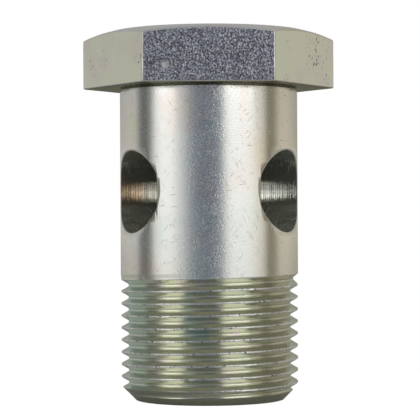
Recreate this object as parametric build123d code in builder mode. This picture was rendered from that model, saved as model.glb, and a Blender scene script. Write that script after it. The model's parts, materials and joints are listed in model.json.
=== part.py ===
from build123d import *
import os
from math import ceil, cos, radians, tan

# Banjo bolt, M22 x 1.5, right-hand, turned from one bar of hexagon steel.
# Fluid enters the bore at the threaded end and leaves by the ports in the plain shank.
# The origin is the centre of the threaded end's face, +Z runs up to the head. Lengths are in mm.

# ---- driving dimensions ----

# Hexagon head, with two flats square to Y
across_flats = 27.0
head_height = 6.95
upright_edge_radius = 0.25
head_top_circle = 24.2  # diameter at which the chamfer meets the flat top
head_chamfer_angle = 15.0

# Shank: the plain part carries the banjo and its two washers, the rest is thread
shank_diameter = 22.0
plain_length = 23.5

# Thread: ISO metric fine, with a short run-out that ends at the full shank diameter
thread_length = 15.0  # end face to the top of the run-out
thread_pitch = 1.5
thread_undersize = 0.1  # how far the crests stand below the shank, on the diameter
runout_length = 1.4
crest_direction = 194.0  # where the crest crosses the end face's level, from +X
end_chamfer = 1.8

# Bore, drilled up from the threaded end
bore_diameter = 13.5
bore_past_ports = 1.8  # straight bore above the ports' upper edges
drill_point_angle = 118.0

# Ports, drilled square to the axis, in line with every second flat of the head
port_count = 3
port_diameter = 10.0
port_below_head = 12.8  # lower face of the head to the ports' axes
first_port_direction = 90.0

# ---- sizes that follow ----

shank_length = thread_length + plain_length
head_top = shank_length + head_height
shank_radius = shank_diameter / 2
bore_radius = bore_diameter / 2
port_height = shank_length - port_below_head
bore_length = port_height + port_diameter / 2 + bore_past_ports
drill_point_length = bore_radius / tan(radians(drill_point_angle / 2))

# ISO profile: flanks 30 degrees off square, crests P/8 wide, depth 17/24 of the sharp V's height
flank_angle = radians(30)
crest_width = thread_pitch / 8
thread_depth = 17 / 24 * thread_pitch * cos(flank_angle)
crest_radius = (shank_diameter - thread_undersize) / 2
root_radius = crest_radius - thread_depth

# ---- one turn of the thread's ridge ----

ridge_foot = 0.15 * thread_depth  # sunk into the core, so that the two join
foot_width = crest_width + 2 * (thread_depth + ridge_foot) * tan(flank_angle)
turn_start = Vector(1, 0).rotate(Axis.Z, crest_direction)
profile_normal = turn_start.rotate(Axis.Z, -90)

with BuildPart() as thread_turn:
    with BuildLine(Plane((0, 0, 0), x_dir=turn_start)) as helix:
        Helix(pitch=thread_pitch, height=thread_pitch, radius=root_radius)
    with BuildSketch(Plane((0, 0, 0), x_dir=turn_start, z_dir=profile_normal)):
        with BuildLine():
            Polyline(
                (root_radius - ridge_foot, -foot_width / 2),
                (crest_radius, -crest_width / 2),
                (crest_radius, crest_width / 2),
                (root_radius - ridge_foot, foot_width / 2),
                close=True,
            )
        make_face()
    sweep(path=helix.line, is_frenet=True)

# ---- passages: the bore and the ports, as one solid to cut away ----

port_step = 360 / port_count
port_directions = [
    Vector(1, 0).rotate(Axis.Z, first_port_direction + port * port_step)
    for port in range(port_count)
]

with BuildPart() as passages:
    # Bore, which ends in the drill's point
    with BuildSketch(Plane.XZ):
        with BuildLine():
            Polyline(
                (0, 0),
                (bore_radius, 0),
                (bore_radius, bore_length),
                (0, bore_length + drill_point_length),
                close=True,
            )
        make_face()
    revolve(axis=Axis.Z)

    # Ports, each drilled through the wall into the bore
    with BuildSketch(*[Plane((0, 0, port_height), z_dir=way) for way in port_directions]):
        Circle(port_diameter / 2)
    extrude(amount=shank_diameter)

# ---- the bolt ----

with BuildPart() as banjo_bolt:
    # The head's hexagon
    with BuildSketch(Plane.XY.offset(shank_length)):
        RegularPolygon(across_flats / 2, 6, major_radius=False)
    extrude(amount=head_height)
    fillet(banjo_bolt.edges().filter_by(Axis.Z), upright_edge_radius)

    # The head's chamfer is turned, so it bites deepest at the corners
    chamfer_reach = across_flats - head_top_circle / 2
    with BuildSketch(Plane.XZ):
        with BuildLine():
            Polyline(
                (head_top_circle / 2, head_top),
                (across_flats, head_top),
                (across_flats, head_top - chamfer_reach * tan(radians(head_chamfer_angle))),
                close=True,
            )
        make_face()
    revolve(axis=Axis.Z, mode=Mode.SUBTRACT)

    # Lower half of the plain shank, the run-out's cone and the thread's core, too long at its end
    spare_length = 2 * thread_pitch
    with BuildSketch(Plane.XZ):
        with BuildLine():
            Polyline(
                (0, -spare_length),
                (root_radius, -spare_length),
                (root_radius, thread_length - runout_length),
                (shank_radius, thread_length),
                (shank_radius, port_height),
                (0, port_height),
                close=True,
            )
        make_face()
    revolve(axis=Axis.Z)

    # Thread: turns of ridge, end to end, from below the end face until the shank buries them
    turns = ceil(thread_length / thread_pitch) + 2
    with Locations(*[(0, 0, (turn - 1) * thread_pitch) for turn in range(turns)]):
        add(thread_turn.part)

    # The end, faced off and chamfered at 45 degrees in one cut
    with BuildSketch(Plane.XZ):
        with BuildLine():
            Polyline(
                (0, 0),
                (crest_radius - end_chamfer, 0),
                (crest_radius + spare_length, end_chamfer + spare_length),
                (crest_radius + spare_length, -2 * spare_length),
                (0, -2 * spare_length),
                close=True,
            )
        make_face()
    revolve(axis=Axis.Z, mode=Mode.SUBTRACT)

    # Upper half of the plain shank. The halves stay unmerged, so the shank's wall is two faces
    # that meet at the ports' axes, and each face is whole all round at its own middle
    with BuildSketch(Plane.XY.offset(port_height)):
        Circle(shank_radius)
    extrude(amount=shank_length - port_height, clean=False)

    add(passages.part, mode=Mode.SUBTRACT, clean=False)

banjo_bolt.part.label = "banjo_bolt"
os.makedirs("parts", exist_ok=True)
export_step(banjo_bolt.part, "parts/banjo_bolt.step")
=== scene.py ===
"""Banjo bolt: a hollow hexagon-head bolt, zinc plated, standing on its threaded end."""
import json
from math import atan2, cos, degrees, pi, radians, sin, sqrt, tan

import bmesh
import bpy
from bpy.props import FloatProperty, FloatVectorProperty, IntProperty, PointerProperty
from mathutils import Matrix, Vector, noise


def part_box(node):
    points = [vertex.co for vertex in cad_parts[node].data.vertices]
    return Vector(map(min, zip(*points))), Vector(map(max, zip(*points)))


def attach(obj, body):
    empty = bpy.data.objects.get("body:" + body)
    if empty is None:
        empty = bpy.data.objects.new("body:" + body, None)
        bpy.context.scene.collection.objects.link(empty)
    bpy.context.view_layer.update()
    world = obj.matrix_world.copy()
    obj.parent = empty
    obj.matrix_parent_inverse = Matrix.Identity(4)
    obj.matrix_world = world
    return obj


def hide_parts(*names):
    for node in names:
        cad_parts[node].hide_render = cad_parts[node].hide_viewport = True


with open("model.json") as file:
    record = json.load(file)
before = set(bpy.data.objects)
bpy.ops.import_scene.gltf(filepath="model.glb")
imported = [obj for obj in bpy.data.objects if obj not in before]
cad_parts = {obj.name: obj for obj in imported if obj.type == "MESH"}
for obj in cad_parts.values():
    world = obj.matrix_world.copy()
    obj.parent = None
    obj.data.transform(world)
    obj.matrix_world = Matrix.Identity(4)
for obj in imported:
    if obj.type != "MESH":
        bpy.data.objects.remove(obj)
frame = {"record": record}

bl_info = {
    "name": "Banjo bolt",
    "version": (1, 0, 0),
    "blender": (4, 5, 0),
    "location": "View3D > Sidebar > Banjo bolt",
    "description": "Models a zinc-plated banjo bolt and a plain studio round it",
    "category": "Add Mesh",
}

MM = 0.001

# ---- what the frame says ----

BOLT_NODE = "banjo_bolt"
cad_lowest, cad_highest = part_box(BOLT_NODE)
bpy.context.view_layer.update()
mounts = {mount["name"]: mount for mount in frame["record"]["mounts"]}


def mount_size(name, key):
    """A mount's stated size, in metres."""
    return mounts[name]["dims"][key] * MM


SHANK_RADIUS = mount_size("shank", "r_mm")
CREST_RADIUS = mount_size("thread", "r_mm")
BORE_RADIUS = mount_size("bore", "r_mm")
SEAT_HEIGHT = mounts["head_seat"]["pos_m"][2]
FLAT_DISTANCE = cad_highest.y
PORTS = ("port_back", "port_left", "port_right")
PORT_HEIGHT = mounts["port_left"]["pos_m"][2]

# where a hardness tester pressed its dimple in the front flat, and where the right-hand flat is bruised
DIMPLE = (-5.05 * MM, -13.5 * MM, 40.5 * MM)
BRUISE = (13 * MM, -4.2 * MM, 42.6 * MM)


def linear(tone):
    """An sRGB hex colour as linear red, green and blue."""
    channels = [int(tone[start : start + 2], 16) / 255 for start in (0, 2, 4)]
    return [c / 12.92 if c <= 0.04045 else ((c + 0.055) / 1.055) ** 2.4 for c in channels]


# ---- sizes, finishes and studio, as a user would change them ----


def length(name, description, default):
    return FloatProperty(name=name, description=description, default=default, unit="LENGTH", precision=5)


def angle(name, description, default):
    return FloatProperty(name=name, description=description, default=radians(default), subtype="ANGLE")


def colour(name, description, default):
    return FloatVectorProperty(
        name=name, description=description, default=linear(default), subtype="COLOR", min=0, max=1
    )


class BanjoBoltSizes(bpy.types.PropertyGroup):
    across_flats: length("Across flats", "Width of the hexagon", cad_highest.y - cad_lowest.y)
    head_top: length("Head top", "Height of the head's top face", cad_highest.z)
    head_underside: length("Head underside", "Height of the head's seat", SEAT_HEIGHT)
    head_top_circle: length("Top circle", "Diameter where the chamfer meets the top face", 24.2 * MM)
    head_chamfer: angle("Head chamfer", "Slope of the turned chamfer", 15)
    upright_rounding: length("Upright edges", "Radius of the hexagon's upright edges", 0.25 * MM)
    edge_rounding: length("Broken edges", "Radius of the head's other edges", 0.2 * MM)
    dimple_radius: length("Dimple", "Radius of the hardness tester's dimple in the front flat", 0.4 * MM)
    shank_radius: length("Shank radius", "Radius of the plain shank", SHANK_RADIUS)
    neck_width: length("Neck groove width", "Width of the undercut between the shank and the head", 0.18 * MM)
    neck_depth: length("Neck groove depth", "Depth of that undercut", 0.22 * MM)
    thread_pitch: length("Thread pitch", "Rise of one turn", 1.5 * MM)
    crest_radius: length("Crest radius", "Radius over the thread's crests", CREST_RADIUS)
    crest_direction: angle("Crest direction", "Where the crest is level with the end face", 194)
    groove_end: length("Groove end", "Height of the groove's root where it has run out", 15.6 * MM)
    runout: length("Run-out", "Rise over which the groove grows shallow", 1.0 * MM)
    shoulder: length("Shoulder", "Height of the last crest that is below the shank", 15.3 * MM)
    shank_foot: length("Shank foot", "Height where the plain blank starts", 16.5 * MM)
    end_chamfer: length("End chamfer", "Width of the chamfer on the threaded end", 1.8 * MM)
    bore_radius: length("Bore radius", "Radius of the bore", BORE_RADIUS)
    bore_depth: length("Bore depth", "Straight part of the bore", mount_size("bore", "length_mm"))
    bore_mouth: length("Bore mouth", "Width of the broken edge at the bore's mouth", 0.35 * MM)
    drill_point: angle("Drill point", "Full angle of the drill's point", 118)
    port_radius: length("Port radius", "Radius of each port", mount_size("port_left", "r_mm"))
    port_height: length("Port height", "Height of the ports' axes", PORT_HEIGHT)
    port_rim: length("Port rim", "Radius of the rounding round each port", 0.12 * MM)
    turned_steps: IntProperty(name="Turned steps", description="Facets round a turned surface", default=180)


class BanjoBoltFinish(bpy.types.PropertyGroup):
    bare_zinc: colour("Zinc", "Bright zinc plate where the film is thinnest", "E1E2DD")
    rose_film: colour("Rose film", "Zinc where the film turns pink", "E3DCD6")
    green_film: colour("Green film", "Zinc where the film turns green", "DAE0D9")
    warm_film: colour("Warm film", "Zinc on the right-hand side, where the film is thicker", "E3DBCB")
    cream_film: colour("Cream film", "Zinc where the film turns yellow", "E0DFD0")
    # painted shade: the end is drawn darker, where it mirrors the floor in the bolt's shadow
    end_shade_film: colour("Drained film", "The thick film at the end that hung lowest in the bath", "B2B3A4")
    flat_film: colour("Film on the flats", "The olive film on the smooth flats", "E6E7D4")
    skin_high: colour("Bar skin, high", "Zinc on the high spots of the bar's rough skin", "D8D8E0")
    skin_low: colour("Bar skin, low", "Zinc in the hollows of the bar's rough skin", "6C6C74")
    pit: colour("Pits", "Pits and nicks that the plate left open", "4C4B45")
    flank_film: colour("Flank film", "Zinc on the cut thread", "DEDFCB")
    blue_film: colour("Blue film", "Zinc on the thread where the film turns blue-green", "CAD6CA")
    # painted shade: the thread's right-hand side is drawn darker
    right_shade_film: colour("Deep film", "Zinc on the thread's right, where the film is thicker", "CFCEBA")
    # olive film, darkened with painted shade where the seat lies under the head
    seat_shade_film: colour("Seat film", "The olive film under the head", "A2A28A")
    # painted shade: the neck's groove under the head is drawn dark
    groove_shade_film: colour("Groove film", "The thin zinc in the groove under the head", "85847A")
    hole_film: colour("Film in the holes", "The dull zinc inside the ports", "D8D9CE")
    # painted reflection: a brighter, coppery strip on the left port's wall, where it mirrors the bright room
    # through the bore
    copper_reflection_film: colour("Copper film", "The film in the left port, where it turns coppery", "F4DABC")
    # painted shade: the bore's wall is drawn darker
    bore_shade_film: colour("Film in the bore", "The thin zinc in the bore", "A6A696")


class BanjoBoltStudio(bpy.types.PropertyGroup):
    camera_distance: length("Camera distance", "From the bolt's axis to the camera", 240.7 * MM)
    camera_height: length("Camera height", "Height of the camera over the floor", 22.4 * MM)
    camera_side: length("Camera side step", "How far the camera stands to the right", -0.73 * MM)
    aim_height: length("Aim height", "Height of the point that the camera looks at", 23.47 * MM)
    aim_side: length("Aim side step", "How far that point is to the right of the axis", 0.11 * MM)
    camera_roll: angle("Camera roll", "Turn of the camera about its own view", 0.3)
    focal_length: FloatProperty(name="Lens", description="Focal length in mm", default=166, unit="CAMERA")
    floor_width: length("Floor width", "Width of the floor's square sheet", 3000 * MM)
    floor_white: colour("Floor", "Colour of the floor", "F4F4F2")
    floor_glow: FloatProperty(
        name="Floor glow", description="Light that the camera adds to the floor", default=0.86
    )
    shadow_reach: length("Shadow reach", "How far from the bolt the floor is still seen", 60 * MM)
    softbox_distance: length("Softbox distance", "From the bolt's axis to each softbox", 600 * MM)
    softbox_foot: length("Softbox foot", "From the floor to the softboxes' lower edges", 90 * MM)
    softbox_height: length("Softbox height", "From a softbox's lower edge to its upper one", 1110 * MM)
    softbox_radiance: FloatProperty(name="Softboxes", description="Brightness of the softboxes", default=0.82)


# ---- modelling by hand ----


def deselect():
    bpy.ops.object.select_all(action="DESELECT")


def pick(piece):
    """Select one piece alone and make it the active one."""
    deselect()
    piece.select_set(True)
    bpy.context.view_layer.objects.active = piece


def open_for_edit(piece):
    pick(piece)
    bpy.ops.object.mode_set(mode="EDIT")
    bpy.ops.mesh.select_mode(type="VERT")
    bpy.ops.mesh.select_all(action="DESELECT")


def close_edit():
    bpy.ops.object.mode_set(mode="OBJECT")


def name_new(name, finish=None):
    """Name the primitive that was just added and give it its finish."""
    piece = bpy.context.active_object
    piece.name = piece.data.name = name
    if finish:
        piece.data.materials.append(finish)
    return piece


def apply_place(piece):
    pick(piece)
    bpy.ops.object.transform_apply(location=True, rotation=True, scale=True)


def apply_modifier(piece, modifier):
    pick(piece)
    bpy.ops.object.modifier_apply(modifier=modifier.name)


def combine(piece, tool, operation):
    """Join, cut or trim a piece with a tool, which is then thrown away."""
    modifier = piece.modifiers.new(operation.title(), "BOOLEAN")
    modifier.operation = operation
    modifier.object = tool
    modifier.solver = "EXACT"
    modifier.material_mode = "TRANSFER"
    apply_modifier(piece, modifier)
    bpy.data.objects.remove(tool)


def draw_outline(name, outline, finish):
    """Draw an outline of (radius, height) points in the XZ plane, from one vertex, point by point."""
    deselect()
    bpy.ops.mesh.primitive_plane_add(size=MM)
    piece = name_new(name, finish)
    open_for_edit(piece)
    bpy.ops.mesh.select_all(action="SELECT")
    bpy.ops.mesh.merge(type="CENTER")
    places = [Vector((radius, 0, height)) for radius, height in outline]
    bpy.ops.transform.translate(value=places[0])
    for last, place in zip(places, places[1:]):
        bpy.ops.mesh.extrude_region_move(TRANSFORM_OT_translate={"value": place - last})
    close_edit()
    return piece


WELD = 0.0005 * MM


def turn(name, outline, steps, finish):
    """Spin an outline that starts and ends on the axis into a closed turned piece."""
    piece = draw_outline(name, outline, finish)
    open_for_edit(piece)
    bpy.ops.mesh.select_all(action="SELECT")
    bpy.ops.mesh.spin(steps=steps, angle=2 * pi, center=(0, 0, 0), axis=(0, 0, 1))
    bpy.ops.mesh.select_all(action="SELECT")
    bpy.ops.mesh.remove_doubles(threshold=WELD)
    bpy.ops.mesh.normals_make_consistent(inside=False)
    close_edit()
    return piece


def arc(centre, radius, start, end, steps):
    """Points along an arc of an outline, with its angles in degrees from the outward direction."""
    angles = [radians(start + (end - start) * step / steps) for step in range(steps + 1)]
    return [(centre[0] + radius * cos(a), centre[1] + radius * sin(a)) for a in angles]


def select_edges(piece, wanted):
    """Select the edges that a test of (middle, direction, sharpness in degrees) accepts."""
    bpy.ops.mesh.select_mode(type="EDGE")
    mesh = bmesh.from_edit_mesh(piece.data)
    for edge in mesh.edges:
        ends = [vertex.co for vertex in edge.verts]
        middle, direction = (ends[0] + ends[1]) / 2, (ends[1] - ends[0]).normalized()
        if wanted(middle, direction, degrees(edge.calc_face_angle(0))):
            edge.select_set(True)
    bmesh.update_edit_mesh(piece.data)


# ---- the bolt ----


def turned_blank(sizes, finish):
    """The head's blank and the plain shank, as they come off the lathe."""
    # wider than the hexagon's corners, so that the bar alone gives the head its sides
    blank_radius = 0.62 * sizes.across_flats
    top_radius = sizes.head_top_circle / 2
    chamfer_foot = sizes.head_top - (blank_radius - top_radius) * tan(sizes.head_chamfer)
    lip = 0.05 * MM
    groove_foot = sizes.head_underside - sizes.neck_width
    groove_radius = sizes.shank_radius - sizes.neck_depth
    neck = [
        (sizes.shank_radius, groove_foot - lip),
        (sizes.shank_radius - 0.3 * lip, groove_foot - 0.3 * lip),
        (sizes.shank_radius - lip, groove_foot),
        (groove_radius, groove_foot + lip),
        (groove_radius, sizes.head_underside),
    ]
    # rings up the wall, so that its faces are not long and thin
    rings = 12
    wall_step = (neck[0][1] - sizes.shank_foot) / rings
    wall = [(sizes.shank_radius, sizes.shank_foot + wall_step * ring) for ring in range(rings)]
    outline = [
        (0, sizes.shank_foot),
        *wall,
        *neck,
        (blank_radius, sizes.head_underside),
        (blank_radius, chamfer_foot),
        (top_radius, sizes.head_top),
        (0, sizes.head_top),
    ]
    return turn("bolt_body", outline, sizes.turned_steps, finish)


def hexagon_bar(sizes, finish, worn_finish):
    """The hexagonal bar that the bolt is turned from, with its upright edges rounded and worn."""
    bar_length = 100 * MM
    deselect()
    bpy.ops.mesh.primitive_cylinder_add(
        vertices=6,
        radius=sizes.across_flats / sqrt(3),
        depth=bar_length,
        location=(0, 0, sizes.head_top / 2),
        rotation=(0, 0, radians(30)),
    )
    bar = name_new("hexagon_bar", finish)
    bar.data.materials.append(worn_finish)
    apply_place(bar)
    open_for_edit(bar)
    select_edges(bar, lambda middle, direction, sharpness: abs(direction.z) > 0.99)
    bpy.ops.mesh.bevel(offset=sizes.upright_rounding * tan(radians(30)), segments=5, profile=0.5, material=1)
    close_edit()
    return bar


def break_head_edges(piece, sizes):
    """Round the edges that facing and chamfering leave on the hexagon."""
    seat, inner = sizes.head_underside - 0.01 * MM, sizes.across_flats / 2 - 0.1 * MM
    sharp, upright = 25, 0.9

    def on_outline(middle, direction, sharpness):
        outside = middle.z > seat and middle.xy.length > inner
        return outside and sharpness > sharp and abs(direction.z) < upright

    open_for_edit(piece)
    select_edges(piece, on_outline)
    bpy.ops.mesh.bevel(offset=sizes.edge_rounding, segments=3, profile=0.5, clamp_overlap=True, material=0)
    close_edit()


def thread_depth(sizes):
    """Depth of the ISO profile: 17/24 of the sharp V's height."""
    return 17 / 24 * sizes.thread_pitch * cos(radians(30))


def threaded_rod(sizes, finish):
    """A rod with a helical groove that has a round root, and that runs out below the shank."""
    pitch, crest = sizes.thread_pitch, sizes.crest_radius
    root = crest - thread_depth(sizes)
    flank_rise = thread_depth(sizes) * tan(radians(30))
    crest_half = pitch / 16
    root_half = pitch / 2 - crest_half - flank_rise
    # a profile corner turns 60 degrees, so its rounding takes radius * tan(30 degrees) of the flat
    crest_corner, root_corner = 0.07 * MM, root_half / tan(radians(30))
    crest_cut = crest_corner * tan(radians(30))
    root_arc = arc((root + root_corner, 0), root_corner, 180, 120, 4)
    crest_arc = arc((crest - crest_corner, pitch / 2 - crest_half + crest_cut), crest_corner, -60, 0, 3)
    half = [*root_arc, *crest_arc, (crest, pitch / 2)]
    profile = half + [(radius, pitch - height) for radius, height in reversed(half[:-1])]
    rod = draw_outline("threaded_rod", profile, finish)

    crest_at_start = -pitch * sizes.crest_direction / (2 * pi)
    # the rod starts three turns under the end, where it is cut off later
    lift = crest_at_start - pitch / 2 - 3 * pitch
    open_for_edit(rod)
    bpy.ops.mesh.select_all(action="SELECT")
    bpy.ops.transform.translate(value=(0, 0, lift))
    close_edit()

    screw = rod.modifiers.new("Screw", "SCREW")
    screw.axis = "Z"
    screw.angle = 2 * pi
    screw.screw_offset = pitch
    screw.iterations = int((sizes.shank_foot - lift) / pitch) + 2
    screw.steps = screw.render_steps = sizes.turned_steps
    screw.use_merge_vertices = False
    apply_modifier(rod, screw)

    open_for_edit(rod)
    bpy.ops.mesh.select_all(action="SELECT")
    bpy.ops.mesh.remove_doubles(threshold=WELD)
    close_edit()
    run_out(rod, sizes, lift)
    tear_crests(rod, sizes)
    open_for_edit(rod)
    spare_end = 1 * MM
    for height, lower in ((-spare_end, True), (sizes.shank_foot, False)):
        bpy.ops.mesh.select_all(action="SELECT")
        bpy.ops.mesh.bisect(
            plane_co=(0, 0, height),
            plane_no=(0, 0, 1),
            use_fill=True,
            clear_inner=lower,
            clear_outer=not lower,
            threshold=0.00001 * MM,
        )
    bpy.ops.mesh.select_all(action="SELECT")
    bpy.ops.mesh.normals_make_consistent(inside=False)
    close_edit()
    return rod


def run_out(rod, sizes, lift):
    """Let the groove grow shallow over its last turn, and bring its land out to the shank."""
    pitch = sizes.thread_pitch
    land_above_crest, land_rise = 0.32 * MM, 0.15 * MM

    def share(value):
        return min(1, max(0, value))

    for vertex in rod.data.vertices:
        radius = vertex.co.xy.length
        azimuth = atan2(vertex.co.y, vertex.co.x) % (2 * pi)
        in_turn = (vertex.co.z - lift - pitch * azimuth / (2 * pi)) % pitch
        turn_foot = vertex.co.z - in_turn
        root_height = turn_foot if in_turn < pitch / 2 else turn_foot + pitch
        crest_height = turn_foot + pitch / 2
        if in_turn > pitch / 2 + land_above_crest:
            crest_height += pitch
        depth_left = share((sizes.groove_end - root_height) / sizes.runout)
        step_left = share((sizes.shoulder - crest_height) / land_rise)
        land = sizes.shank_radius - (sizes.shank_radius - sizes.crest_radius) * step_left
        new_radius = land - (sizes.crest_radius - radius) * depth_left
        vertex.co.xy *= new_radius / radius


def tear_crests(rod, sizes):
    """Let the crests wander and dip a little, as the die tears them."""
    band = 0.12 * MM
    # in millimetres, for the noise's full height
    wander, deepest = 0.035, 0.09
    apart = Vector((7, 3, 1))
    for vertex in rod.data.vertices:
        radius = vertex.co.xy.length
        share = (radius - sizes.crest_radius) / band + 1
        if 0 < share <= 1.01 and vertex.co.z < sizes.shoulder:
            # heights far apart in the noise, so that no turn is torn like the one below it
            in_noise = 2.3 * round(vertex.co.z / sizes.thread_pitch, 1) * MM
            place = Vector((vertex.co.x, vertex.co.y, in_noise))
            vertex.co.z += share * wander * MM * noise.noise(place / (0.45 * MM))
            dip = max(0, noise.noise(place / (0.6 * MM) + apart) - 0.1)
            vertex.co.xy *= 1 - share * dip * deepest * MM / radius


def end_cutter(sizes, finish):
    """What facing and chamfering the threaded end take away."""
    reach = 4 * MM
    end_radius = sizes.crest_radius - sizes.end_chamfer
    rim = 0.12 * MM
    outline = [
        (0, 0),
        (end_radius - rim, 0),
        (end_radius + 0.35 * rim, 0.35 * rim),
        (end_radius + rim, rim),
        (end_radius + reach, reach),
        (end_radius + reach, -reach),
        (0, -reach),
    ]
    return turn("end_cutter", outline, sizes.turned_steps, finish)


def bore_cutter(sizes, finish):
    """The drill for the bore, with a countersink that breaks the edge of its mouth."""
    reach = 3 * MM
    point = sizes.bore_radius / tan(sizes.drill_point / 2)
    outline = [
        (0, -reach),
        (sizes.bore_radius + sizes.bore_mouth + reach, -reach),
        (sizes.bore_radius, sizes.bore_mouth),
        (sizes.bore_radius, sizes.bore_depth),
        (0, sizes.bore_depth + point),
    ]
    return turn("bore_cutter", outline, sizes.turned_steps, finish)


def shift_selected(piece, new_x):
    """Give each selected vertex a new x, worked out from its own place."""
    mesh = bmesh.from_edit_mesh(piece.data)
    for vertex in mesh.verts:
        if vertex.select:
            vertex.co.x = new_x(vertex.co)
    bmesh.update_edit_mesh(piece.data)


def port_cutter(name, direction, sizes, finish):
    """The drill for one port. It flares at the shank's wall, so that it leaves a rounded rim."""
    shank, rim = sizes.shank_radius, sizes.port_rim
    # the drill starts inside the bore and ends clear of the shank
    start, clear = 4.5 * MM, 3 * MM
    # rings of (distance from the port's axis, distance of the wall they lie on from the bolt's axis)
    rings = [(sizes.port_radius, shank - 2 * rim)]
    for step in range(6):
        turned = radians(14 * step)
        rings.append((sizes.port_radius + rim * (1 - cos(turned)), shank - rim * (1 - sin(turned))))
    flare = radians(70)
    beyond = 1 * MM
    rings.append((rings[-1][0] + beyond * sin(flare), rings[-1][1] + beyond * cos(flare)))

    deselect()
    bpy.ops.mesh.primitive_circle_add(
        vertices=128,
        radius=sizes.port_radius,
        fill_type="NGON",
        location=(start, 0, sizes.port_height),
        rotation=(0, pi / 2, 0),
    )
    cutter = name_new(name, finish)
    apply_place(cutter)
    open_for_edit(cutter)
    bpy.ops.mesh.select_all(action="SELECT")
    across = sizes.port_radius
    for distance, wall in rings:
        bpy.ops.mesh.extrude_region_move()
        share = distance / across
        bpy.ops.transform.resize(value=(1, share, share), center_override=(0, 0, sizes.port_height))
        across = distance
        shift_selected(cutter, lambda place: sqrt(wall**2 - place.y**2))
    bpy.ops.mesh.extrude_region_move()
    shift_selected(cutter, lambda place: shank + clear)
    bpy.ops.mesh.select_all(action="SELECT")
    bpy.ops.mesh.normals_make_consistent(inside=False)
    close_edit()
    cutter.rotation_euler.z = direction
    apply_place(cutter)
    return cutter


def finish_shoulder(bolt, sizes):
    """Where the groove has run out, the wall takes the shank's turned finish, in the first slot."""
    lowest, innermost = sizes.shoulder - 0.4 * MM, sizes.crest_radius - 0.02 * MM
    for face in bolt.data.polygons:
        if lowest < face.center.z < sizes.shank_foot and face.center.xy.length > innermost:
            face.material_index = 0


def smooth(piece):
    """Smooth shading within each surface, with the broad faces setting the normals."""
    pick(piece)
    crease = radians(32)
    bpy.ops.object.shade_smooth_by_angle(angle=crease)
    weighted = piece.modifiers.new("Weighted normals", "WEIGHTED_NORMAL")
    weighted.mode = "FACE_AREA"
    weighted.weight = 100
    weighted.keep_sharp = True
    apply_modifier(piece, weighted)


def dimple(sizes, finish):
    """The ball of a hardness tester, where it presses a shallow dimple in the front flat."""
    ball_radius = 5 * sizes.dimple_radius
    stand_off = sqrt(ball_radius**2 - sizes.dimple_radius**2)
    deselect()
    bpy.ops.mesh.primitive_uv_sphere_add(
        segments=96,
        ring_count=96,
        radius=ball_radius,
        location=(DIMPLE[0], -sizes.across_flats / 2 - stand_off, DIMPLE[2]),
        rotation=(pi / 2, 0, 0),
    )
    tester = name_new("tester_ball", finish)
    apply_place(tester)
    return tester


class BANJOBOLT_OT_make_bolt(bpy.types.Operator):
    """Model the bolt: turn a blank from hexagonal bar, thread it, drill it and plate it"""

    bl_idname = "banjobolt.make_bolt"
    bl_label = "Make the bolt"

    def execute(self, context):
        sizes, finish = context.scene.banjo_bolt_sizes, context.scene.banjo_bolt_finish
        drawn = plated_flats(finish)
        turned = plated_shank(finish)
        cut_thread = plated_thread(finish)
        drilled = plated_holes(finish)

        bolt = turned_blank(sizes, turned)
        combine(bolt, hexagon_bar(sizes, drawn, turned), "INTERSECT")
        break_head_edges(bolt, sizes)
        combine(bolt, dimple(sizes, turned), "DIFFERENCE")
        combine(bolt, threaded_rod(sizes, cut_thread), "UNION")
        combine(bolt, end_cutter(sizes, turned), "DIFFERENCE")
        combine(bolt, bore_cutter(sizes, drilled), "DIFFERENCE")
        finish_shoulder(bolt, sizes)
        for name in PORTS:
            outward = Vector(mounts[name]["axis"])
            direction = Vector((1, 0)).angle_signed(outward.xy) * -1
            combine(bolt, port_cutter(name + "_cutter", direction, sizes, drilled), "DIFFERENCE")
        smooth(bolt)

        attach(bolt, "root")
        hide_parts(BOLT_NODE)
        return {"FINISHED"}


# ---- finishes ----


def add_node(tree, kind, inputs=None, stops=None, **settings):
    """Add a node with its settings and links. An input is a plain value, a colour, a node or its output."""
    made = tree.nodes.new(kind)
    for name, value in settings.items():
        setattr(made, name, value)
    for socket, value in (inputs or {}).items():
        if isinstance(value, bpy.types.Node):
            value = value.outputs[0]
        if isinstance(value, bpy.types.NodeSocket):
            tree.links.new(value, made.inputs[socket])
        elif made.inputs[socket].type == "RGBA":
            made.inputs[socket].default_value = (*value[:3], 1)
        else:
            made.inputs[socket].default_value = value
    if stops:
        ramp = made.color_ramp
        while len(ramp.elements) < len(stops):
            ramp.elements.new(0.5)
        for element, (place, tone) in zip(ramp.elements, stops):
            element.position = place
            element.color = (*tone, 1)
    return made


def start_finish(name):
    """A new material, with the place on the piece that its patterns follow."""
    material = bpy.data.materials.new(name)
    material.use_nodes = True
    tree = material.node_tree
    tree.nodes.clear()
    return material, tree, add_node(tree, "ShaderNodeTexCoord").outputs["Object"]


def where_all(tree, *limits):
    """A share from 0 to 1 that is full only where every limit is. A limit is a pattern, or a tuple of the
    value that it goes by, where it starts and where it is full."""
    share = None
    for limit in limits:
        if isinstance(limit, tuple):
            value, start, full = limit
            limit = add_node(
                tree, "ShaderNodeMapRange", {"Value": value, "From Min": start, "From Max": full}
            )
        if share is not None:
            limit = add_node(tree, "ShaderNodeMath", {0: share, 1: limit}, operation="MULTIPLY")
        share = limit
    return share


def lay(tree, below, above, *limits):
    """Lay one colour over another, where all the limits are met."""
    share = where_all(tree, *limits)
    return add_node(tree, "ShaderNodeMix", {0: share, 6: below, 7: above}, data_type="RGBA").outputs[2]


def grain(tree, where, size, low=0.3, high=0.7, detail=2.0, distortion=0.0):
    """A random grain whose features are about as large as size, from 0 below low to 1 above high."""
    cloud = add_node(
        tree, "ShaderNodeTexNoise",
        {"Vector": where, "Scale": 1 / size, "Detail": detail, "Distortion": distortion},
    )
    return where_all(tree, (cloud, low, high))


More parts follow.
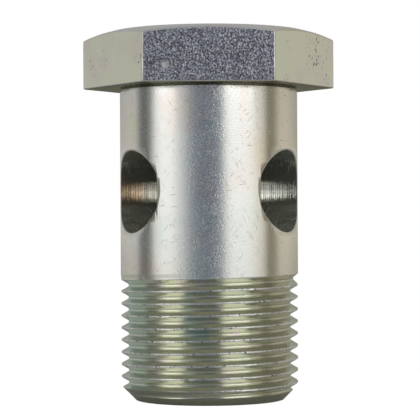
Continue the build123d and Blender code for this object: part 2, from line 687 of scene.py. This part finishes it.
def from_axis(tree, where):
    """How far a place is from the bolt's axis."""
    level = add_node(tree, "ShaderNodeVectorMath", {0: where, 1: (1, 1, 0)}, operation="MULTIPLY")
    return add_node(tree, "ShaderNodeVectorMath", {0: level}, operation="LENGTH").outputs["Value"]


def unroll(tree, part, radius):
    """Lay the wall round the bolt's axis flat: distance round, height and distance from the axis."""
    # the seam is at the back
    ahead = add_node(tree, "ShaderNodeMath", {0: part["Y"], 1: -1.0}, operation="MULTIPLY")
    turned = add_node(tree, "ShaderNodeMath", {0: part["X"], 1: ahead}, operation="ARCTAN2")
    around = add_node(tree, "ShaderNodeMath", {0: turned, 1: SHANK_RADIUS}, operation="MULTIPLY")
    return around, add_node(tree, "ShaderNodeCombineXYZ", {0: around, 1: part["Z"], 2: radius})


def scratches(tree, where, tilt, long, wide, rare):
    """Fine scratches on a flat pattern, at a tilt in degrees. The higher rare is, the fewer there are."""
    turned = add_node(
        tree, "ShaderNodeMapping",
        {"Vector": where, "Rotation": (0, 0, radians(tilt)), "Scale": (long, wide, MM)},
        vector_type="TEXTURE",
    )
    streak = add_node(
        tree, "ShaderNodeTexNoise", {"Vector": turned, "Scale": 1.0, "Detail": 0.0}, noise_dimensions="2D"
    )
    return where_all(tree, (streak, rare, rare + 0.05))


def plate(tree, tint, roughness, reliefs, metal=1.0, edge_tint=(1, 1, 1)):
    """Zinc plate over reliefs of (pattern, depth), from the broadest to the finest."""
    inputs = {"Base Color": tint, "Metallic": metal, "Roughness": roughness, "Specular Tint": edge_tint}
    for pattern, depth in reliefs:
        relief = {"Height": pattern, "Distance": depth}
        if "Normal" in inputs:
            relief["Normal"] = inputs["Normal"]
        inputs["Normal"] = add_node(tree, "ShaderNodeBump", relief)
    shader = add_node(tree, "ShaderNodeBsdfPrincipled", inputs)
    add_node(tree, "ShaderNodeOutputMaterial", {"Surface": shader})


def film(tree, where, size, tones):
    """Clouds of the passivated film's tints, which change with its thickness."""
    cloud = grain(tree, where, size, distortion=0.4)
    spread = [place / (len(tones) - 1) for place in range(len(tones))]
    return add_node(tree, "ShaderNodeValToRGB", {"Fac": cloud}, stops=list(zip(spread, tones)))


def plated_shank(finish):
    # Steel turned on a lathe, then bright zinc plated and passivated. The tool leaves fine rings, the bath
    # a fine peel, and the film faint green and pink clouds. Handling adds short scratches.
    material, tree, where = start_finish("zinc_plated_turned_steel")
    part = add_node(tree, "ShaderNodeSeparateXYZ", {0: where}).outputs
    side, height = part["X"], part["Z"]
    radius = from_axis(tree, where)
    around, wall = unroll(tree, part, radius)

    tint = film(
        tree, where, 6 * MM,
        [finish.green_film, finish.bare_zinc, finish.bare_zinc, finish.rose_film, finish.cream_film],
    )
    tint = lay(tree, tint, finish.warm_film, (side, 6 * MM, 10 * MM))
    # painted shade: the end and its chamfer darken from 2.6 mm down to 1.6 mm, where they mirror the floor in
    # the bolt's shadow
    tint = lay(tree, tint, finish.end_shade_film, (height, 2.6 * MM, 1.6 * MM))
    # the seat is olive, and painted shade under the head makes it darker; the neck's groove under it gets
    # darker painted shade still
    below_head = (height, SEAT_HEIGHT + 0.06 * MM, SEAT_HEIGHT + 0.04 * MM)
    seat = where_all(tree, (height, SEAT_HEIGHT - 0.04 * MM, SEAT_HEIGHT - 0.02 * MM), below_head)
    tint = lay(tree, tint, finish.seat_shade_film, seat)
    # painted shade in the neck's groove under the head
    tint = lay(
        tree, tint, finish.groove_shade_film,
        (radius, SHANK_RADIUS - 0.02 * MM, SHANK_RADIUS - 0.06 * MM),
        (height, SEAT_HEIGHT - 0.22 * MM, SEAT_HEIGHT - 0.16 * MM),
        below_head,
    )

    # the tool moves on about 0.1 mm a turn, up a wall and out along a face. Some rings are deeper, in the
    # upper half of the shank and at the end, and those are drawn wider apart than they are, so that they show
    along = add_node(tree, "ShaderNodeMath", {0: radius, 1: height}, operation="ADD")
    feed = add_node(tree, "ShaderNodeCombineXYZ", {0: along})
    rings = grain(tree, feed, 0.11 * MM, detail=1.0)
    coarse_rings = where_all(tree, grain(tree, feed, 0.16 * MM), (height, 28 * MM, 32 * MM))
    at_end = where_all(tree, (height, 2.6 * MM, 2.0 * MM))
    end_rings = where_all(tree, grain(tree, feed, 0.22 * MM), at_end)
    # the plate's real peel and specks are a few hundredths of a millimetre wide, too fine to show
    peel = grain(tree, where, 0.16 * MM)
    specks = grain(tree, where, 0.17 * MM, 0.69, 0.76, detail=1.0)

    # on the wall scratches lie round it, and on the head's two faces and the end they lie across. Real ones
    # are about 0.02 mm wide, and they are drawn 0.06 mm wide to show
    level_faces = add_node(
        tree, "ShaderNodeMath",
        {
            0: where_all(tree, (height, SEAT_HEIGHT - 0.1 * MM, SEAT_HEIGHT - 0.05 * MM)),
            1: where_all(tree, (height, 1.9 * MM, 1.8 * MM)),
        },
        operation="MAXIMUM",
    )
    surface = lay(tree, wall, where, level_faces)
    scuffs = [
        scratches(tree, surface, tilt, 1.7 * MM, 0.06 * MM, rare)
        for tilt, rare in ((50, 0.878), (-62, 0.888), (115, 0.878), (8, 0.895))
    ]

    # the shank was handled most at the front, where knocks in small groups have worn it and left matt specks
    from_front = add_node(tree, "ShaderNodeMath", {0: around, 1: 0.5 * MM}, operation="ADD")
    from_front = add_node(tree, "ShaderNodeMath", {0: from_front}, operation="ABSOLUTE")
    handled = where_all(
        tree,
        (from_front, 3.0 * MM, 1.3 * MM),
        (height, SEAT_HEIGHT - 0.05 * MM, SEAT_HEIGHT - 0.1 * MM),
    )
    knocks = grain(tree, where, 0.26 * MM, 0.48, 0.66, detail=4.0)
    groups = grain(tree, where, 1.3 * MM, 0.30, 0.56)
    worn = where_all(tree, knocks, groups, handled)
    matt = where_all(tree, grain(tree, where, 0.17 * MM, 0.61, 0.70, detail=1.0), handled)
    # scratches and the dimple's floor are matt too
    from_dimple = add_node(tree, "ShaderNodeVectorMath", {0: where, 1: DIMPLE}, operation="DISTANCE")
    pressed = where_all(tree, (from_dimple.outputs["Value"], 0.7 * MM, 0.5 * MM))
    for pattern in (*scuffs, pressed):
        matt = add_node(tree, "ShaderNodeMath", {0: matt, 1: pattern}, operation="MAXIMUM")
    bright, dull = 0.16, 0.5
    roughness = add_node(tree, "ShaderNodeMapRange", {"Value": matt, "To Min": bright, "To Max": dull})
    # the head's top and the end were faced less finely than the shank was turned
    on_head = where_all(tree, (height, SEAT_HEIGHT + 2 * MM, SEAT_HEIGHT + 3 * MM))
    for face, faced in ((on_head, 0.48), (at_end, 0.38)):
        coarser = add_node(tree, "ShaderNodeMath", {0: face, 1: faced}, operation="MULTIPLY")
        roughness = add_node(tree, "ShaderNodeMath", {0: roughness, 1: coarser}, operation="MAXIMUM")

    reliefs = [
        (end_rings, 0.0080 * MM),
        (coarse_rings, 0.0014 * MM),
        (rings, 0.0004 * MM),
        (peel, 0.0017 * MM),
        (specks, 0.0035 * MM),
        *((scuff, 0.020 * MM) for scuff in scuffs),
        (worn, 0.011 * MM),
    ]
    # the seat's edge tint takes the same olive colour with its painted shade
    edge_tint = lay(tree, (1, 1, 1), finish.seat_shade_film, seat)
    plate(tree, tint, roughness, reliefs, edge_tint=edge_tint)
    return material


def plated_flats(finish):
    # Cold-drawn hexagonal bar, left as drawn and zinc plated. Four flats are smooth under an olive film,
    # with a few pits. The bar's skin is still on the front and back flats, and its grain makes them dark
    # and glittering.
    material, tree, where = start_finish("zinc_plated_drawn_bar")
    part = add_node(tree, "ShaderNodeSeparateXYZ", {0: where}).outputs
    depth = add_node(tree, "ShaderNodeMath", {0: part["Y"]}, operation="ABSOLUTE")
    skin = where_all(tree, (depth, FLAT_DISTANCE - 0.14 * MM, FLAT_DISTANCE - 0.06 * MM))

    # pits gather where the bar was bruised, most of all on the right-hand flat
    from_bruise = add_node(tree, "ShaderNodeVectorMath", {0: where, 1: BRUISE}, operation="DISTANCE")
    bruise = where_all(tree, (from_bruise.outputs["Value"], 3.6 * MM, 1.0 * MM))
    gathered = where_all(tree, grain(tree, where, 3 * MM, 0.56, 0.70), (part["Z"], 44 * MM, 43 * MM))
    gathered = add_node(tree, "ShaderNodeMath", {0: gathered, 1: bruise}, operation="MAXIMUM")
    pitted = where_all(tree, gathered, grain(tree, where, 0.38 * MM, 0.60, 0.66))
    smooth_tint = film(tree, where, 6 * MM, [finish.flat_film, finish.flat_film, finish.rose_film])
    smooth_tint = lay(tree, smooth_tint, finish.pit, pitted)

    # real zinc crystals are under 0.05 mm wide, and they are drawn 0.21 mm wide to show. Patches glitter more
    crystal = grain(tree, where, 0.21 * MM, 0.36, 0.62, detail=3.0)
    lighter = lay(tree, finish.skin_low, finish.skin_high, crystal)
    darker = lay(tree, finish.skin_low, finish.skin_high, crystal, crystal)
    skin_tint = lay(tree, darker, lighter, grain(tree, where, 2.2 * MM))
    tint = lay(tree, smooth_tint, skin_tint, skin)

    rough = where_all(tree, grain(tree, where, 0.27 * MM, 0.25, 0.75, detail=3.0), skin)
    faint = grain(tree, where, 0.5 * MM)
    as_drawn = 0.3
    plate(tree, tint, as_drawn, [(faint, 0.004 * MM), (pitted, 0.02 * MM), (rough, 0.060 * MM)])
    return material


def plated_thread(finish):
    # A thread cut by a die and zinc plated. Its flanks are smooth, and light that bounces between them
    # takes the film's yellow-green each time. Its crests are torn and nicked.
    material, tree, where = start_finish("zinc_plated_cut_thread")
    side = add_node(tree, "ShaderNodeSeparateXYZ", {0: where}).outputs["X"]
    crest = where_all(tree, (from_axis(tree, where), CREST_RADIUS - 0.09 * MM, CREST_RADIUS - 0.03 * MM))
    nicks = where_all(tree, grain(tree, where, 0.3 * MM, 0.59, 0.68), crest)
    tint = film(
        tree, where, 4 * MM,
        [finish.blue_film, finish.flank_film, finish.flank_film, finish.flank_film, finish.rose_film],
    )
    tint = lay(tree, tint, finish.blue_film, (side, -6 * MM, -9 * MM))
    # painted shade: the thread darkens towards its right-hand side
    tint = lay(tree, tint, finish.right_shade_film, (side, 4 * MM, 8 * MM))
    tint = lay(tree, tint, finish.bare_zinc, crest)
    tint = lay(tree, tint, finish.pit, nicks)
    # the grain of torn steel and of the plate is finer than this, too fine to show
    torn = where_all(tree, grain(tree, where, 0.22 * MM), crest)
    fine = grain(tree, where, 0.2 * MM)
    on_flank, on_crest = 0.16, 0.24
    roughness = add_node(tree, "ShaderNodeMapRange", {"Value": crest, "To Min": on_flank, "To Max": on_crest})
    plate(tree, tint, roughness, [(fine, 0.002 * MM), (torn, 0.018 * MM)])
    return material


def plated_holes(finish):
    # Holes drilled through the wall. Zinc throws poorly into a hole, so it is thin and dull there, over
    # the rings that the drill leaves and a few long scratches.
    material, tree, where = start_finish("zinc_plated_drilled_steel")
    part = add_node(tree, "ShaderNodeSeparateXYZ", {0: where}).outputs
    # how far out a place is along the nearest port's axis
    along = None
    for name in PORTS:
        reach = add_node(
            tree, "ShaderNodeVectorMath", {0: where, 1: mounts[name]["axis"]}, operation="DOT_PRODUCT"
        ).outputs["Value"]
        if along is not None:
            reach = add_node(tree, "ShaderNodeMath", {0: along, 1: reach}, operation="MAXIMUM")
        along = reach

    # painted reflection: the left port's wall is brighter and coppery in a strip at the level of its axis,
    # where it mirrors the bright room through the bore
    level = add_node(tree, "ShaderNodeMath", {0: part["Z"], 1: PORT_HEIGHT}, operation="SUBTRACT")
    level = add_node(tree, "ShaderNodeMath", {0: level}, operation="ABSOLUTE")
    tint = lay(
        tree, finish.hole_film, finish.copper_reflection_film,
        (part["X"], -7.6 * MM, -8.6 * MM),
        (level, 1.8 * MM, 0.9 * MM),
    )
    # painted shade: the bore's wall is darker
    shaded_bore = (from_axis(tree, where), BORE_RADIUS + 0.15 * MM, BORE_RADIUS + 0.05 * MM)
    tint = lay(tree, tint, finish.bore_shade_film, shaded_bore)

    # the scratches are drawn wider than they are, to show
    hole_wall = add_node(tree, "ShaderNodeCombineXYZ", {0: along, 1: part["Z"]})
    scuffs = [
        scratches(tree, hole_wall, tilt, 3.2 * MM, 0.09 * MM, rare)
        for tilt, rare in ((66, 0.84), (112, 0.86))
    ]
    matt = add_node(tree, "ShaderNodeMath", {0: scuffs[0], 1: scuffs[1]}, operation="MAXIMUM")
    drilled, scuffed = 0.12, 0.5
    roughness = add_node(tree, "ShaderNodeMapRange", {"Value": matt, "To Min": drilled, "To Max": scuffed})

    feed = add_node(tree, "ShaderNodeCombineXYZ", {0: along})
    rings = grain(tree, feed, 0.22 * MM, detail=3.0)
    fine = grain(tree, where, 0.2 * MM)
    reliefs = [(rings, 0.016 * MM), (fine, 0.002 * MM), *((scuff, 0.015 * MM) for scuff in scuffs)]
    plate(tree, tint, roughness, reliefs, metal=0.75)
    return material


# ---- the stage ----


def lay_floor(studio):
    """A pale acrylic sheet. At a low angle it mirrors the room, as the thread and the lower shank see it."""
    deselect()
    # a hair under the bolt's end, so that the two faces don't share a plane
    bpy.ops.mesh.primitive_plane_add(size=studio.floor_width, location=(0, 0, -0.01 * MM))
    floor = name_new("studio_floor")
    open_for_edit(floor)
    bpy.ops.mesh.select_all(action="SELECT")
    bpy.ops.mesh.subdivide(number_cuts=3)
    close_edit()

    # Extruded acrylic, glossy and faintly scuffed, which gives the metal a soft mirror to stand on.
    material, tree, where = start_finish("pale_acrylic_floor")
    acrylic = add_node(
        tree, "ShaderNodeBsdfPrincipled", {"Base Color": studio.floor_white, "Roughness": 0.08, "IOR": 1.49}
    )
    # the camera sees the floor bright round the bolt, and further off it runs into the white background
    paint = add_node(tree, "ShaderNodeBsdfDiffuse", {"Color": studio.floor_white})
    glow = add_node(tree, "ShaderNodeEmission", {"Color": (1, 1, 1), "Strength": studio.floor_glow})
    near = add_node(tree, "ShaderNodeAddShader", {0: paint, 1: glow})
    white = add_node(tree, "ShaderNodeEmission", {"Color": (1, 1, 1), "Strength": 1.0})
    away = add_node(tree, "ShaderNodeVectorMath", {0: where}, operation="LENGTH").outputs["Value"]
    far = where_all(tree, (away, studio.shadow_reach / 4, studio.shadow_reach))
    backdrop = add_node(tree, "ShaderNodeMixShader", {0: far, 1: near, 2: white})
    path = add_node(tree, "ShaderNodeLightPath")
    shown = add_node(tree, "ShaderNodeMixShader", {0: path.outputs["Is Camera Ray"], 1: acrylic, 2: backdrop})
    add_node(tree, "ShaderNodeOutputMaterial", {"Surface": shown})
    floor.data.materials.append(material)


# each softbox reaches from one azimuth to another, in degrees right of the camera
SOFTBOXES = {"left_softbox": (-72, -43), "right_softbox": (18, 59)}


def hang_softbox(name, start, end, studio):
    """A tall soft light that faces the bolt, clear of the floor, so that the room shows under it."""
    turned, half = radians((start + end) / 2), radians((end - start) / 2)
    distance, height = studio.softbox_distance, studio.softbox_height
    width = 2 * distance * tan(half)
    place = Vector((distance * sin(turned), -distance * cos(turned), studio.softbox_foot + height / 2))
    deselect()
    bpy.ops.object.light_add(type="AREA", location=place)
    lamp = bpy.context.active_object
    lamp.name = lamp.data.name = name
    lamp.data.shape = "RECTANGLE"
    lamp.data.size, lamp.data.size_y = width, height
    # a flat lamp's radiance is its power over pi times its area
    lamp.data.energy = studio.softbox_radiance * pi * width * height
    lamp.rotation_euler = (Vector((0, 0, place.z)) - place).to_track_quat("-Z", "Y").to_euler()


# what stands round the bolt, as metal mirrors it: degrees right of the camera, and tone
ROOM = (
    (-180, "8A8A78"), (-171, "9C9C90"), (-158, "B2B2B0"), (-128, "C2C2BE"), (-109, "C0C0BC"), (-98, "767678"),
    (-89, "646663"), (-81, "8E908C"), (-74, "E0E0DE"), (-62, "FFFFFF"), (-50, "FCFCFA"), (-43, "ECECEC"),
    (-36, "D0D2D4"), (-27, "B0B3B6"), (-20, "7A8088"), (-12, "3A4456"), (-3, "1C263C"), (6, "303B49"),
    (14, "8C9098"), (21, "E0E0E0"), (29, "FFFFFF"), (46, "FFFFFF"), (56, "FAF8F2"), (66, "E8E4DA"),
    (74, "D4CEC2"), (82, "847F70"), (92, "8A887A"), (104, "C8C4BA"), (120, "C8C6BE"), (142, "B4B4AE"),
    (171, "9C9C8E"), (180, "8A8A78"),
)
# a pale haze in front, by the sine of its angle over the floor
HAZE = ((0.016, "1C263C"), (0.045, "98A3B2"), (0.10, "98A3B2"), (0.15, "000000"))
# the ceiling, from over the camera at 0 to behind the bolt at 1
CEILING = ((0.0, "66707E"), (0.34, "7A7E82"), (0.54, "B0B0B2"), (1.0, "B8B8BC"))


def light_room():
    """White for the camera. Metal mirrors the room's walls, dark screens and soft edges of light."""
    world = bpy.data.worlds.new("studio_room")
    bpy.context.scene.world = world
    world.use_nodes = True
    tree = world.node_tree
    tree.nodes.clear()
    way = add_node(tree, "ShaderNodeTexCoord").outputs["Generated"]
    part = add_node(tree, "ShaderNodeSeparateXYZ", {0: way}).outputs
    # how far up a direction points: the sine of its angle over the floor
    up = part["Z"]
    ahead = add_node(tree, "ShaderNodeMath", {0: part["Y"], 1: -1.0}, operation="MULTIPLY")
    azimuth = add_node(tree, "ShaderNodeMath", {0: part["X"], 1: ahead}, operation="ARCTAN2")
    walls = add_node(
        tree, "ShaderNodeValToRGB", {"Fac": where_all(tree, (azimuth, -pi, pi))},
        stops=[((turned + 180) / 360, linear(tone)) for turned, tone in ROOM],
    )
    # in front, the haze just over the table's level lifts the dark screen
    haze = add_node(
        tree, "ShaderNodeValToRGB", {"Fac": up}, stops=[(rise, linear(tone)) for rise, tone in HAZE]
    )
    front = where_all(tree, (ahead, 0.5, 0.8))
    walls = add_node(
        tree, "ShaderNodeMix", {0: front, 6: walls, 7: haze}, data_type="RGBA", blend_type="LIGHTEN"
    )
    # higher up, the walls end at a ceiling that is dim over the camera and paler behind the bolt
    ceiling = add_node(
        tree, "ShaderNodeValToRGB", {"Fac": where_all(tree, (part["Y"], -1, 1))},
        stops=[(place, linear(tone)) for place, tone in CEILING],
    )
    room = lay(tree, walls.outputs[2], ceiling, (up, 0.24, 0.42))
    # the room is brightest near the table's level
    brightest = add_node(
        tree, "ShaderNodeMapRange",
        {"Value": up, "From Min": 0.0, "From Max": 0.045, "To Min": 1.4, "To Max": 1.0},
    )
    mirrored = add_node(tree, "ShaderNodeBackground", {"Color": room, "Strength": brightest})
    fill = add_node(tree, "ShaderNodeBackground", {"Color": linear("787878")})
    white = add_node(tree, "ShaderNodeBackground", {"Color": (1, 1, 1)})
    path = add_node(tree, "ShaderNodeLightPath")
    metal = add_node(tree, "ShaderNodeMixShader", {0: path.outputs["Is Glossy Ray"], 1: fill, 2: mirrored})
    shown = add_node(tree, "ShaderNodeMixShader", {0: path.outputs["Is Camera Ray"], 1: metal, 2: white})
    add_node(tree, "ShaderNodeOutputWorld", {"Surface": shown})


def place_camera(studio):
    place = Vector((studio.camera_side, -studio.camera_distance, studio.camera_height))
    aim = Vector((studio.aim_side, 0, studio.aim_height))
    deselect()
    bpy.ops.object.camera_add(location=place, rotation=(aim - place).to_track_quat("-Z", "Y").to_euler())
    camera = bpy.context.active_object
    camera.name = camera.data.name = "studio_camera"
    camera.rotation_euler.rotate_axis("Z", -studio.camera_roll)
    camera.data.sensor_width = 36
    camera.data.lens = studio.focal_length
    camera.data.clip_start, camera.data.clip_end = 0.01, 10
    bpy.context.scene.camera = camera


class BANJOBOLT_OT_make_stage(bpy.types.Operator):
    """Set the stage: a pale floor, two softboxes, a plain room and the camera"""

    bl_idname = "banjobolt.make_stage"
    bl_label = "Set the stage"

    def execute(self, context):
        studio = context.scene.banjo_bolt_studio
        lay_floor(studio)
        for name, (start, end) in SOFTBOXES.items():
            hang_softbox(name, start, end, studio)
        light_room()
        place_camera(studio)
        context.scene.view_settings.view_transform = "Standard"
        return {"FINISHED"}


# ---- the add-on ----


class BANJOBOLT_PT_sidebar(bpy.types.Panel):
    """The bolt's operators and sizes"""

    bl_label = "Banjo bolt"
    bl_idname = "BANJOBOLT_PT_sidebar"
    bl_space_type = "VIEW_3D"
    bl_region_type = "UI"
    bl_category = "Banjo bolt"

    def draw(self, context):
        self.layout.operator(BANJOBOLT_OT_make_bolt.bl_idname)
        self.layout.operator(BANJOBOLT_OT_make_stage.bl_idname)
        for group in ("banjo_bolt_sizes", "banjo_bolt_finish", "banjo_bolt_studio"):
            settings = getattr(context.scene, group)
            box = self.layout.box()
            for name in settings.__annotations__:
                box.prop(settings, name)


CLASSES = (
    BanjoBoltSizes,
    BanjoBoltFinish,
    BanjoBoltStudio,
    BANJOBOLT_OT_make_bolt,
    BANJOBOLT_OT_make_stage,
    BANJOBOLT_PT_sidebar,
)


def register():
    for added in CLASSES:
        bpy.utils.register_class(added)
    bpy.types.Scene.banjo_bolt_sizes = PointerProperty(type=BanjoBoltSizes)
    bpy.types.Scene.banjo_bolt_finish = PointerProperty(type=BanjoBoltFinish)
    bpy.types.Scene.banjo_bolt_studio = PointerProperty(type=BanjoBoltStudio)


def unregister():
    del bpy.types.Scene.banjo_bolt_studio
    del bpy.types.Scene.banjo_bolt_finish
    del bpy.types.Scene.banjo_bolt_sizes
    for added in reversed(CLASSES):
        bpy.utils.unregister_class(added)


def main():
    register()
    bpy.ops.banjobolt.make_bolt()
    bpy.ops.banjobolt.make_stage()


if __name__ == "__main__":
    main()
